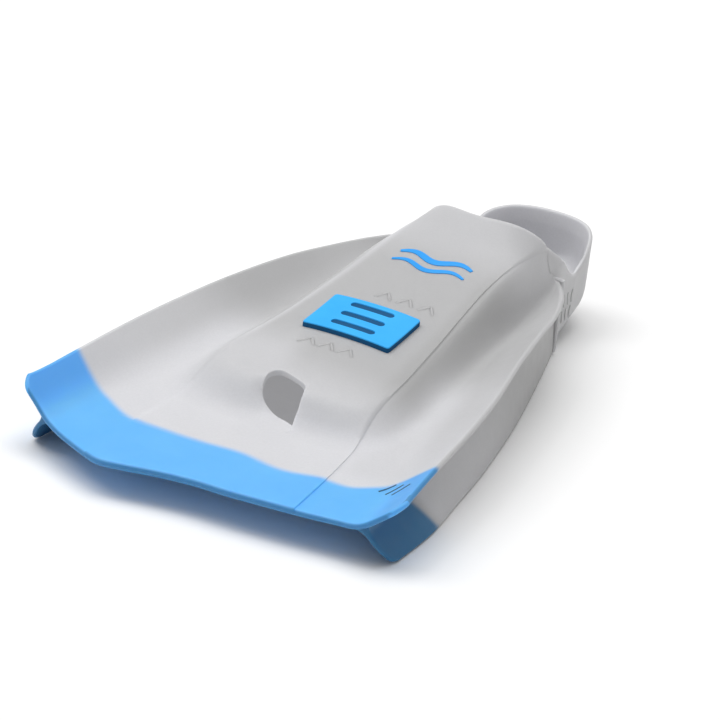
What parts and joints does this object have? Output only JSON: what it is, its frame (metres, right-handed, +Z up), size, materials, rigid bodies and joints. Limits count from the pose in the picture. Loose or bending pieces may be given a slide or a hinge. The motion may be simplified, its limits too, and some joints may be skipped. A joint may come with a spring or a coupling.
{
  "type": "swim fin",
  "caption": "Short-blade silicone swim fin with a closed-heel foot pocket, raised side rails, a blue tip and a flexing blade.",
  "frame": {"origin": "middle of the base of the whole fin, on the floor it rests on", "axes": "+X across the fin to the side of the short tip corner, +Y from the blade tip towards the heel, +Z up from the floor"},
  "size_m": [0.2092, 0.3875, 0.0802],
  "materials": {
    "silicone_grey": "satin translucent pale grey silicone",
    "silicone_blue": "satin sky-blue silicone",
    "ink_blue": "satin dark blue",
    "badge_dark_blue": "satin dark blue",
    "badge_light_blue": "satin light blue",
    "print_blue": "satin bright blue"
  },
  "bodies": {
    "foot_pocket": {"corner_marks": "ink_blue", "flex_panel": "silicone_grey", "flex_web_left": "silicone_grey", "flex_web_right": "silicone_grey", "flex_rail_left": "silicone_grey", "flex_rail_right": "silicone_grey", "flex_keel_left": "silicone_grey", "flex_keel_right": "silicone_grey", "toe_cap": "silicone_grey", "pocket_top": "silicone_grey", "instep_panel": "silicone_grey", "flank_left": "silicone_grey", "flank_right": "silicone_grey", "rear_rail_left": "silicone_grey", "rear_rail_right": "silicone_grey", "rear_keel_left": "silicone_grey", "rear_keel_right": "silicone_grey", "rail_end_left": "silicone_grey", "rail_end_right": "silicone_grey", "toe_bumper": "silicone_grey", "side_wall_left": "silicone_grey", "side_wall_right": "silicone_grey", "sole": "silicone_grey", "heel_cup": "silicone_grey", "sole_tread": "silicone_grey", "badge_base": "badge_dark_blue", "badge_face": "badge_light_blue", "wave_emblem": "print_blue", "front_marks": "silicone_grey", "rear_marks": "silicone_grey", "heel_marks": "silicone_grey"},
    "blade": {"tip_panel": "silicone_blue", "tip_web_left": "silicone_blue", "tip_web_right": "silicone_blue", "tip_rail_left": "silicone_blue", "tip_rail_right": "silicone_blue", "tip_keel_left": "silicone_blue", "tip_keel_right": "silicone_blue"}
  },
  "joints": [
    {"name": "blade_flex", "type": "hinge", "parent": "foot_pocket", "child": "blade", "pos_m": [0, -0.1372, 0.0201], "axis": [1, 0, 0], "range_deg": [-20, 20], "stiffness_Nm_per_rad": 1.5, "deforming": ["flex_panel", "flex_web_left", "flex_web_right", "flex_rail_left", "flex_rail_right", "flex_keel_left", "flex_keel_right", "corner_marks"]}
  ]
}
